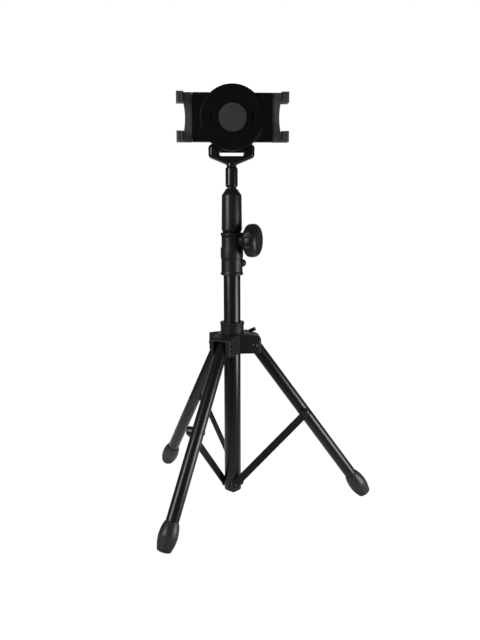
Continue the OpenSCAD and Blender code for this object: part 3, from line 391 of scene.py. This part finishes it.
def piece(name, meshes, finish, body, stands_for):
    """One object from meshes in place: doubles merged, normals outward, smooth up to sharp edges."""
    form = bmesh.new()
    for part in meshes:
        form.from_mesh(part)
        bpy.data.meshes.remove(part)
    bmesh.ops.remove_doubles(form, verts=form.verts, dist=2e-6)
    bmesh.ops.recalc_face_normals(form, faces=form.faces)
    mesh = bpy.data.meshes.new(name)
    form.to_mesh(mesh)
    form.free()
    mesh.polygons.foreach_set("use_smooth", np.ones(len(mesh.polygons), bool))
    mesh.set_sharp_from_angle(angle=np.radians(PIECE_SHARP))
    mesh.materials.append(finish)
    made = bpy.data.objects.new(name, mesh)
    bpy.context.scene.collection.objects.link(made)
    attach(made, body)
    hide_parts(*stands_for)


def dress_node(name, finish):
    """Finish and clean shading of a CAD node.

    Triangles are welded, parted at sharp edges, and their normals weighted by face area."""
    made = nodes[name]
    made.data.materials.clear()
    made.data.materials.append(finish)
    made.modifiers.new("weld", "WELD").merge_threshold = 1e-6
    made.modifiers.new("part", "EDGE_SPLIT").split_angle = np.radians(NODE_SHARP)
    made.modifiers.new("even", "WEIGHTED_NORMAL").keep_sharp = True
    made.data.polygons.foreach_set("use_smooth", np.ones(len(made.data.polygons), bool))


def tube(r, low, high, where=None, around=96):
    """Tube of radius r from low to high, its wall's ends rounded."""
    inner = r - WALL
    wall = [(r, low, LIP), (r, high, LIP), (inner, high, LIP), (inner, low, LIP)]
    return turned(rounded(wall, 5, closed=True), where, around, ring=True)


def cap(r, base, height):
    """Height at radius r of a spherical cap: sqrt(ball^2 - r^2) less ball - height.

    The ball's radius is (base^2 + height^2) / (2 height)."""
    ball = (base * base + height * height) / (2 * height)
    return np.sqrt(ball * ball - r * r) - (ball - height)


def head_profile(base, height, dimple):
    """Rivet or screw head: upright rim, spherical cap, and a shallow round dimple in the middle.

    The dimple at radius r is its depth times exp(-(r / 0.34 base)^4)."""
    r = np.linspace(base * 0.97, 0.0, 28)
    z = cap(r, base, height) - dimple * np.exp(-(r / (base * 0.34)) ** 4)
    rim = [(0.0, -SUNK), (base, -SUNK), (base, 0.25)]
    return np.vstack([rim, np.stack([r, np.maximum(z, 0.3)], -1)])


def socket_head(base, height, across, depth, where):
    """Screw head with a six-sided socket.

    Six-sided radius at angle u is half of across over cos(u folded into -30..30 degrees); the cap's
    rings pass from the round rim to it, the socket's wall drops by depth and its floor closes on
    the axis."""
    around = 72
    u = full_turn(around)
    six = across / 2 / np.cos(folded(u, np.pi / 3))
    w = np.linspace(1.0, 0.0, 14)
    r_cap = six * (1 - w) + base * w
    z_cap = np.maximum(cap(r_cap, base, height), 0.25)
    low = height - depth
    r = columns(around, 0.0, base, r_cap, six * 0.98, six * 0.96, 0.0)
    z = columns(around, -SUNK, -SUNK, z_cap, z_cap[:, -1:] - 0.1, low, low)
    return skin_around(r, u, z, where)


def boss(radius, reach, host, bore, fillet, where):
    """Round boss on an upright cylinder of radius host.

    At angle u the root lies sqrt(host^2 - (r sin u)^2) from the cylinder's axis and flares by a
    quarter circle of radius fillet; the far end is flat at reach, with a rounded rim, down into the
    bore."""
    around = 96
    u = full_turn(around)
    a = np.linspace(0.0, np.pi / 2, 7)
    r_root = radius + fillet * (1 - np.sin(a))
    z_root = np.sqrt(host ** 2 - (r_root * np.sin(u)) ** 2) + fillet * (1 - np.cos(a)) - BOSS_SUNK
    r_end = radius - BOSS_RIM * (1 - np.cos(a))
    z_end = reach - BOSS_RIM + BOSS_RIM * np.sin(a)
    r = columns(around, r_root, r_end, bore, bore)
    z = columns(around, z_root, z_end, reach, reach - BORE_DEEP)
    return skin_around(r, u, z, where)


def fluted_knob(where):
    """Clamp knob: a revolved section whose radius is held under a scalloped rim.

    The rim at angle u is 30.3 mm less 2.5 mm times exp(-(s / 3.2)^2), s being the way along the rim
    to the nearest of ten flutes; section and rim join by the soft minimum
    -k log(exp(-a / k) + exp(-b / k)), k being 0.5. The face is dished by 0.35 mm."""
    flutes, rim_r, flute_deep, flute_wide, k, dish = 10, KNOB_R + 0.3, 2.5, 3.2, 0.5, 0.35
    back = rounded([(0, KNOB_BACK, 0), (10.5, KNOB_BACK, 7), (18, 23.8, 7), (27, 28.7, 7),
                    (29.4, 33.3, 7), (KNOB_R, 38.3, 0)], 7)
    a = np.linspace(0.0, np.pi / 2, 22)[1:]
    crown_at = KNOB_R - KNOB_CROWN_R
    crown = np.stack([crown_at + KNOB_CROWN_R * np.cos(a),
                      KNOB_FACE - KNOB_CROWN_R + KNOB_CROWN_R * np.sin(a)], -1)
    r_face = np.linspace(15.0, 0.0, 10)
    face = np.stack([r_face, KNOB_FACE - dish * (1 - (r_face / crown_at) ** 2)], -1)
    r, z = np.vstack([back, crown, face]).T
    u = full_turn(200)
    way = folded(u, 2 * np.pi / flutes) * KNOB_R
    rim = rim_r - flute_deep * np.exp(-(way / flute_wide) ** 2)
    held = -k * np.log(np.exp(-r / k) + np.exp(-rim / k))
    held = np.where(r < 1e-6, 0.0, np.maximum(held, 0.0))
    return skin_around(held, u, z, where)


def boot_profile():
    """Section of a boot: a domed sole, a swelling side and a thin cuff.

    The sole is r = 12.3 sin(t)^0.83, z = 3 - 5.4 cos(t)^0.83 for a quarter turn of t. The side's
    radius at height z is 16.2 less 3.9 times the square of z's way from 24 over that to the sole's
    rim (3) or the cuff (46); four grooves, each a bell curve 0.45 deep, ring it every 4.2 above the
    sole."""
    grooves, groove_gap, groove_deep, groove_wide, fullness = 4, 4.2, 0.45, 0.6, 0.83
    z = np.linspace(SOLE_RIM + 0.1, CUFF - 1.0, 200)
    way = np.where(z < BELLY, (BELLY - z) / (BELLY - SOLE_RIM), (z - BELLY) / (CUFF - BELLY))
    groove_z = SOLE_RIM + groove_gap * np.arange(1, grooves + 1)
    cut = np.exp(-((z[:, None] - groove_z) / groove_wide) ** 2).sum(1)
    r = BELLY_R - (BELLY_R - SOLE_R) * way ** 2 - groove_deep * cut
    t = np.linspace(0.0, np.pi / 2, 28)
    sole = np.stack([SOLE_R * np.sin(t) ** fullness,
                     SOLE_RIM - SOLE_H * np.clip(np.cos(t), 0.0, 1.0) ** fullness], -1)
    bore = LEG_R + FIT
    cuff = rounded([(12.64, CUFF - 0.9, 0), (SOLE_R, CUFF, 0.5), (bore, CUFF, 0.3),
                    (bore, BOOT_FLOOR, 0.5), (0, BOOT_FLOOR, 0)], 4)
    return np.vstack([sole, np.stack([r, z], -1), cuff])


def pointed_plug():
    """Plug under the column: a revolved section whose lower rim dips to a point below each rivet.

    At angle u from the nearest rivet the rim lies 2.9 times the square of 1 - u / 50 degrees lower
    than between the rivets; the underside rises to the axis, and the top fits into the tube."""
    around, dip, dip_wide = 216, 2.9, 50.0
    u = full_turn(around)
    away = np.abs(folded(np.degrees(u) + 90.0, 120.0))
    low = SPIDER_RIM_Z - dip * np.clip(1 - away / dip_wide, 0.0, 1.0) ** 2
    neck = COLUMN_R - WALL - FIT
    r = columns(around, 0.0, 13.9, 14.7, 15.2, SPIDER_R, SPIDER_R, COLUMN_R, neck, neck, 12.6, 0.0)
    z = columns(around, SPIDER_HOLLOW_Z, low, low + 0.2, low + 0.8, low + 1.6, COLUMN_Z - 0.4,
                COLUMN_Z - 0.05, COLUMN_Z - 0.05, SPIDER_TOP - 1.2, SPIDER_TOP, SPIDER_TOP)
    return skin_around(r, u, z)


def yoke_casting(where):
    """Forked casting: a dense outline carried through as a slab.

    Its rims are 1.2 wide in the slot, and ease to 7.2, full round, at the ears and underneath."""
    ear_from, ear_over, under_from, under_over = 22.0, 10.7, -12.5, 2.0
    slot_rim, full_rim, rim_rise = 1.2, 7.2, 8.6
    half = np.array([(7.5, -27.9, 8.0), (YOKE_HALF_WIDE, -14.5, 7.4),
                     (YOKE_HALF_WIDE, YOKE_HALF_DEEP, 7.4), (SLOT_HALF, YOKE_HALF_DEEP, 4.7),
                     (SLOT_HALF, SLOT_FLOOR, 2.75)])
    other_half = half[::-1] * (-1.0, 1.0, 1.0)
    outline = rounded(np.roll(np.vstack([half, other_half]), 1, 0), 9, closed=True)
    outline = dense(outline, 1.0)
    beside = np.clip((np.abs(outline[:, 0]) - ear_from) / ear_over, 0.0, 1.0)
    beneath = np.clip((under_from - outline[:, 1]) / under_over, 0.0, 1.0)
    edge = slot_rim + (full_rim - slot_rim) * np.maximum(ease(beside), beneath)
    return slab(outline, -YOKE_HALF_DEEP, YOKE_HALF_DEEP, edge, where, 10, rim_rise)


def ridged_grip(sign, foot, where):
    """Grip block on the right (sign 1) or left (-1) jaw, its foot at a height from the middle.

    Its inner face at height z is 82.4 plus 1.3 times a bell curve of z at each of three ridges,
    4.4 apart; the outline is carried through as a slab."""
    ridges, ridge_gap, ridge_h, ridge_wide, edge = 3, 4.4, 1.3, 0.75, 0.5
    z = np.linspace(0.0, GRIP_TALL, 70)
    ridge_z = ridge_gap * np.arange(1, ridges + 1)
    wave = GRIP_FACE + ridge_h * np.exp(-((z[:, None] - ridge_z) / ridge_wide) ** 2).sum(1)
    outline = np.vstack([np.stack([wave, z], -1)[::-1], [(GRIP_BACK, 0.0), (GRIP_BACK, GRIP_TALL)]])
    outline = outline * (sign, 1.0) + (0.0, foot)
    return slab(outline if sign > 0 else outline[::-1], GRIP_NEAR, GRIP_FAR, edge, where)


def coil(start, end, radius, where):
    """Spring wire: its centre circles the axis from start to end and comes in to it at both hooks."""
    points_a_turn, hook = 22, 0.06
    t = np.linspace(0.0, 1.0, SPRING_TURNS * points_a_turn)
    swell = radius * ease(np.clip(np.minimum(t, 1 - t) / hook, 0.0, 1.0))
    angle = 2 * np.pi * SPRING_TURNS * t
    centre = np.stack([swell * np.cos(angle), swell * np.sin(angle), start + (end - start) * t], -1)
    along = unit(np.gradient(centre, axis=0))
    out = np.stack([np.cos(angle), np.sin(angle), 0 * angle], -1)
    out = unit(out - (out * along).sum(1)[:, None] * along)
    side = np.cross(along, out)
    thick = np.full(len(t), WIRE_R)
    thick[[0, -1]] = 0.0
    v = full_turn(8)[:, :, None]
    return skin(centre + (np.cos(v) * out + np.sin(v) * side) * thick[:, None], where)


def dress_column():
    """Column, telescope, clamp collar with its knob and dome screw, twist clutch and top barrel."""
    for name, body, node, r, low, high in (
            ("column_tube", "column", "outer_tube", COLUMN_R, COLUMN_Z, COLUMN_TOP),
            ("telescope_tube", "middle", "middle_tube", MIDDLE_R, MIDDLE_Z, MIDDLE_TOP),
            ("telescope_rod", "rod", "inner_rod", ROD_R, ROD_Z, ROD_TOP)):
        piece(name, [tube(r, low, high)], TUBE_PAINT, body, [node])

    knob_out, _ = bearing(KNOB_BEARING)
    knob_place, dome_place = [place(z * UP, knob_out) for z in (KNOB_Z, DOME_Z)]
    bore = COLUMN_R + FIT
    collar = rounded(
        [(bore, COLLAR_Z, 0.3), (18.3, COLLAR_Z, 0.8), (COLLAR_FLANGE_R, 420.6, 0.8),
         (COLLAR_FLANGE_R, 422.6, 2.0), (COLLAR_WAIST_R, 426.6, 5.0), (COLLAR_WAIST_R, 447.6, 3.0),
         (COLLAR_FLANGE_R, 450.4, 1.5), (20.05, 459.0, 30.0), (COLLAR_FLANGE_R, 467.4, 1.5),
         (COLLAR_NECK_R, 470.2, 3.0), (COLLAR_NECK_R, 487.0, 7.0), (COLLAR_FLANGE_R, 491.4, 1.6),
         (COLLAR_FLANGE_R, 493.4, 0.7), (18.6, COLLAR_TOP, 0.8), (BUSH_R, COLLAR_TOP, 0.5),
         (BUSH_R, COLLAR_SHELF_Z, 0.3), (bore, COLLAR_SHELF_Z, 0.3)], 6, closed=True)
    knob_boss = boss(KNOB_BOSS_R, KNOB_BOSS_END, COLLAR_NECK_R, KNOB_BORE_R,
                     fillet=1.4, where=knob_place)
    dome_boss = boss(DOME_R, DOME_BOSS_END, COLLAR_WAIST_R, DOME_BORE_R,
                     fillet=0.7, where=dome_place)
    piece("clamp_collar", [turned(collar, ring=True), knob_boss, dome_boss],
          MOULDED, "column", ["column_collar"])
    dome = turned(head_profile(DOME_R, DOME_H, dimple=0.0),
                  place(DOME_Z * UP + DOME_BOSS_END * knob_out, knob_out), 64)
    piece("collar_dome_screw", [dome], BLACK_STEEL, "column", ["collar_screw"])
    piece("clamp_knob", [fluted_knob(knob_place)],
          MOULDED, "knob", ["height_knob"])

    sleeve = rounded(
        [(BUSH_R, SLEEVE_Z, 0.4), (15.9, SLEEVE_Z, 1.2), (18.1, 500.1, 6.0), (17.4, 559.7, 5.0),
         (9.6, SLEEVE_TOP, 1.4), (SLEEVE_BORE_R, SLEEVE_TOP, 0.4),
         (SLEEVE_BORE_R, COLLET_TOP, 0.3), (10.9, COLLET_TOP, 0.3), (BUSH_R, 540.1, 1.0)],
        7, closed=True)
    piece("twist_clutch_sleeve", [turned(sleeve, ring=True)],
          SATIN, "clutch", ["clutch_sleeve"])
    barrel = rounded(
        [(0, ROD_TOP, 0), (ROD_R + FIT, ROD_TOP, 0.2), (ROD_R + FIT, BARREL_Z, 0.3),
         (8.9, BARREL_Z, 0.7), (BARREL_R, 576.0, 3.0), (BARREL_R, 605.4, 3.5),
         (8.4, BARREL_TOP, 1.6), (0, BARREL_TOP, 0)], 7)
    piece("swivel_barrel", [turned(barrel)], GLOSS, "rod", ["top_barrel"])


def dress_legs():
    """Legs with ribbed boots, the spider's plug, and the rivets and bolts of the linkage."""
    boot = boot_profile()
    ring_rivet = rounded(
        [(0, -SUNK, 0), (BRACE_RIVET_R, -SUNK, 0.2), (BRACE_RIVET_R, 0.6, 0.9),
         (5.1, BRACE_RIVET_H, 1.1), (3.6, BRACE_RIVET_H, 0.8), (2.7, 0.3, 0.5), (0, 0.3, 0)], 6)
    seat_r, seat_near, seat_far, ring_off = 8.2, 9.0, 15.6, 0.3
    rivet_seat = rounded([(0, seat_near, 0), (seat_r, seat_near, 0.2), (seat_r, seat_far, 0.5),
                          (0, seat_far, 0)], 5)
    bolt_end = rounded([(BOLT_R, -1.0, 0), (BOLT_R, NUT_H, 0.4), (2.5, NUT_H, 0.4), (0, NUT_H, 0)], 4)
    lean = np.radians(BRACE_TILT)
    plug, rivets, bolts = [pointed_plug()], [], []
    for side, degrees in LEGS.items():
        leg, brace = side + "_leg", side + "_brace"
        out, across = bearing(degrees)
        sole = leg_place(degrees, LEG_LEN)
        pivot, clip = [leg_place(degrees, down)[:3, 3] for down in (0.0, CLIP_AT)]
        foot, strip = BRACE_Z * UP, STRIP_OUT * across
        top = foot + BRACE_LEN * (np.sin(lean) * out + np.cos(lean) * UP)
        piece(side + "_painted_leg", [tube(LEG_R, BOOT_FLOOR, LEG_LEN + LEG_HEAD, sole, 72)],
              TUBE_PAINT, leg, [side + "_leg_tube"])
        piece(side + "_ribbed_boot", [turned(boot, sole, 80, floor=True)],
              FOOT_RUBBER, leg, [side + "_foot"])
        clip_rivet = turned(head_profile(CLIP_RIVET_R, CLIP_RIVET_H, dimple=0.2),
                            place(clip + TAIL_FACE * across, across), 40)
        piece(side + "_clip_rivet", [clip_rivet],
              BLACK_STEEL, leg, [side + "_leg_rivet"])
        brace_rivet = turned(head_profile(BRACE_RIVET_R, BRACE_RIVET_H, dimple=0.6),
                             place(top - strip, -across), 64)
        piece(side + "_brace_rivet", [brace_rivet],
              BLACK_STEEL, brace, [side + "_brace_head"])
        rivets.append(turned(ring_rivet, place(foot - strip - ring_off * across, -across), 64))
        plug.append(turned(rivet_seat, place(foot, -across), 64))
        bolts.append(socket_head(BOLT_HEAD_R, BOLT_HEAD_H, across=3.0, depth=1.3,
                                 where=place(pivot - ARM_HALF * across, -across)))
        bolts.append(turned(bolt_end, place(pivot + ARM_HALF * across, across), 40))
    piece("spider_plug", plug, MOULDED, "column", ["bottom_spider"])
    piece("spider_ring_rivets", rivets, BLACK_STEEL, "column", ["spider_rivets"])
    piece("hub_pivot_bolts", bolts, BLACK_STEEL, "hub", ["hub_bolts"])


def dress_head():
    """Tilt yoke and its pin, the holder's pad and pivot bolt, and the jaws' grips and springs."""
    at_tilt, facing = [place((0, 0, z), FORWARDS, RIGHTWARDS) for z in (TILT_Z, HOLDER_Z)]
    root_r, root_low, bolt_seat = 9.0, -29.9, 1.5
    root = rounded([(0, root_low, 0), (root_r, root_low, 0.8), (root_r, -21.0, 6.0),
                    (0, -15.5, 0)], 8)
    piece("tilt_yoke_casting",
          [yoke_casting(at_tilt), turned(root, place((0, 0, TILT_Z), UP, RIGHTWARDS))],
          GLOSS, "yoke", ["tilt_yoke"])
    pin = rounded([(0, -PIN_HALF, 0), (PIN_R, -PIN_HALF, 0.9), (PIN_R, PIN_HALF, 0.9),
                   (0, PIN_HALF, 0)], 5)
    piece("tilt_cross_pin", [turned(pin, place((0, 0, TILT_Z), RIGHTWARDS), 40)],
          BLACK_STEEL, "yoke", ["tilt_pin"])

    flat_r, crown = PAD_R - 1.0, 0.1
    r = np.linspace(flat_r, 0.0, 12)
    pad_side = rounded([(0, PAD_SEAT, 0), (PAD_R, PAD_SEAT, 0.3), (PAD_R, PAD_FACE - crown, 1.0),
                        (flat_r, PAD_FACE - crown, 0)], 6)
    pad = np.vstack([pad_side, np.stack([r, PAD_FACE - crown * (r / flat_r) ** 2], -1)])
    piece("rubber_centre_pad", [turned(pad, facing)],
          PAD_RUBBER, "holder", ["centre_pad"])
    bolt = socket_head(base=10.0, height=4.5, across=6.0, depth=2.6,
                       where=place((0, bolt_seat, HOLDER_Z), BACKWARDS))
    piece("holder_pivot_bolt", [bolt], BLACK_STEEL, "arm", ["pivot_bolt"])

    for side, sign in (("left", -1.0), ("right", 1.0)):
        piece(side + "_ridged_grips", [ridged_grip(sign, foot, facing) for foot in GRIP_FEET],
              GRIP_RUBBER, side + "_jaw", [side + "_grips"])
        low, high = [np.array(corner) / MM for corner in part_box(side + "_spring")]
        _, y, z = (low + high) / 2
        start, end = sorted([low[0], high[0]], key=abs)
        wound = coil(start, end, (high[2] - low[2]) / 2 - WIRE_ROOM, place((0, y, z), RIGHTWARDS))
        piece(side + "_jaw_spring", [wound],
              BARE_STEEL, "holder", [side + "_spring"])


def dress_cad_nodes():
    """Finishes of the CAD nodes that stay as they are."""
    finishes = (
        (STRIP_PAINT, [side + "_brace_strip" for side in LEGS]),
        (HUB_PLASTIC, ["leg_hub"]),
        (MOULDED, ["wing_head", "clutch_base", "clutch_collet", "collar_bush", "middle_guide",
                   "rod_guide"] + [side + "_leg_plug" for side in LEGS]),
        (SATIN, [side + "_leg_clip" for side in LEGS]),
        (GLOSS, ["tilt_arm"]),
        (HOLDER_BLACK, ["holder_back", "holder_front"]),
        (JAW_GREY, ["left_jaw", "right_jaw"]),
        (BLACK_STEEL, ["holder_screws", "hub_nuts"]),
        (BARE_STEEL, ["knob_stud", "wing_stud", "pivot_nut"]))
    for finish, names in finishes:
        for name in names:
            dress_node(name, finish)


def lay_floor():
    """Pale floor: white to the camera, with the shadow left in, and white behind in reflections.

    The camera sees a glow for the share shown, and lit paper for the rest; in reflections the glow
    rises from dim to full behind the stand."""
    half, level = 6.0, -0.0003
    paper_tone, glow, shown, dim = 0.86, 1.1, 0.88, 0.07
    mesh = bpy.data.meshes.new("studio_floor")
    mesh.from_pydata([(-half, -half, level), (half, -half, level), (half, half, level),
                      (-half, half, level)], [], [(0, 1, 2, 3)])
    floor = bpy.data.objects.new("studio_floor", mesh)
    bpy.context.scene.collection.objects.link(floor)
    paper = bpy.data.materials.new("studio_paper")
    f = Finish(paper)
    straight, glossy = f.rays()
    spot = f.node("ShaderNodeTexCoord", None, None, "Object")
    behind = f.ramp(f.part(spot, "Y"), -0.55, 0.45)
    beside = f.ramp(abs(f.part(spot, "X")), 0.15, 0.70)
    sweep = behind * (1 - beside)
    lit = f.node("ShaderNodeBsdfDiffuse", None, {"Color": grey(paper_tone)})
    strength = straight * glow + glossy * (dim + (1 - dim) * sweep)
    white = f.node("ShaderNodeEmission", None, {"Color": grey(1.0), "Strength": strength})
    mixed = f.node("ShaderNodeMixShader", None, {0: straight * shown + glossy, 1: lit, 2: white})
    f.node("ShaderNodeOutputMaterial", None, {"Surface": mixed})
    mesh.materials.append(paper)


def light_world():
    """Surroundings: white to the camera, a white backdrop in dim reflections, and a soft fill."""
    dim, fill = 0.10, 0.34
    world = bpy.data.worlds.new("studio")
    bpy.context.scene.world = world
    f = Finish(world)
    straight, glossy = f.rays()
    heading = f.node("ShaderNodeTexCoord", None, None, "Generated")
    backdrop = f.ramp(f.part(heading, "Y"), 0.86, 0.97)
    around = glossy * (dim + backdrop * (1 - dim)) + (1 - glossy) * fill
    level = straight + (1 - straight) * around
    sky = f.node("ShaderNodeBackground", None, {"Color": grey(1.0), "Strength": level})
    f.node("ShaderNodeOutputWorld", None, {"Surface": sky})


def soft_box(name, heading, height, reach, width, tall, power, lean=0.0):
    """Tall rectangular lamp, in metres and watts.

    It stands at a heading seen from the column, faces its axis, and leans by degrees in its plane."""
    lamp = bpy.data.lights.new(name, "AREA")
    lamp.shape, lamp.size, lamp.size_y, lamp.energy = "RECTANGLE", width, tall, power
    made = bpy.data.objects.new(name, lamp)
    at = Vector((heading[0] * reach, heading[1] * reach, height))
    aim = Vector((0.0, 0.0, height)) - at
    facing = aim.to_track_quat("-Z", "Y").to_matrix().to_4x4()
    leaning = Matrix.Rotation(np.radians(lean), 4, "Z")
    made.matrix_world = Matrix.Translation(at) @ facing @ leaning
    bpy.context.scene.collection.objects.link(made)


def set_camera(at, yaw, pitch, roll, focal):
    """Camera at a point in metres, turned by degrees, with a focal length for a 36 mm sensor."""
    yaw, pitch, roll = np.radians([yaw, pitch, roll])
    ahead = np.array([np.sin(yaw) * np.cos(pitch), np.cos(yaw) * np.cos(pitch), -np.sin(pitch)])
    level = np.array([np.cos(yaw), -np.sin(yaw), 0.0])
    upright = np.cross(level, ahead)
    across = level * np.cos(roll) + upright * np.sin(roll)
    above = upright * np.cos(roll) - level * np.sin(roll)
    lens = bpy.data.cameras.new("camera")
    lens.sensor_width, lens.lens, lens.clip_start, lens.clip_end = 36.0, focal, 0.05, 50.0
    camera = bpy.data.objects.new("camera", lens)
    stand = np.eye(4)
    stand[:3, 0], stand[:3, 1], stand[:3, 2], stand[:3, 3] = across, above, -ahead, at
    camera.matrix_world = Matrix(stand.tolist())
    bpy.context.scene.collection.objects.link(camera)
    bpy.context.scene.camera = camera


dress_column()
dress_legs()
dress_head()
dress_cad_nodes()

lay_floor()
light_world()
soft_box("left_soft_box", heading=(-0.819, -0.574), height=1.08, reach=1.6,
         width=0.50, tall=1.3, power=19.5)
soft_box("right_soft_box", heading=(0.905, -0.425), height=0.25, reach=0.8,
         width=0.34, tall=0.46, power=4.0, lean=25.0)
set_camera((-0.0935, -1.3625, 0.5548), yaw=4.515, pitch=9.003, roll=-0.146, focal=43.3125)
bpy.context.scene.view_settings.view_transform = "Standard"
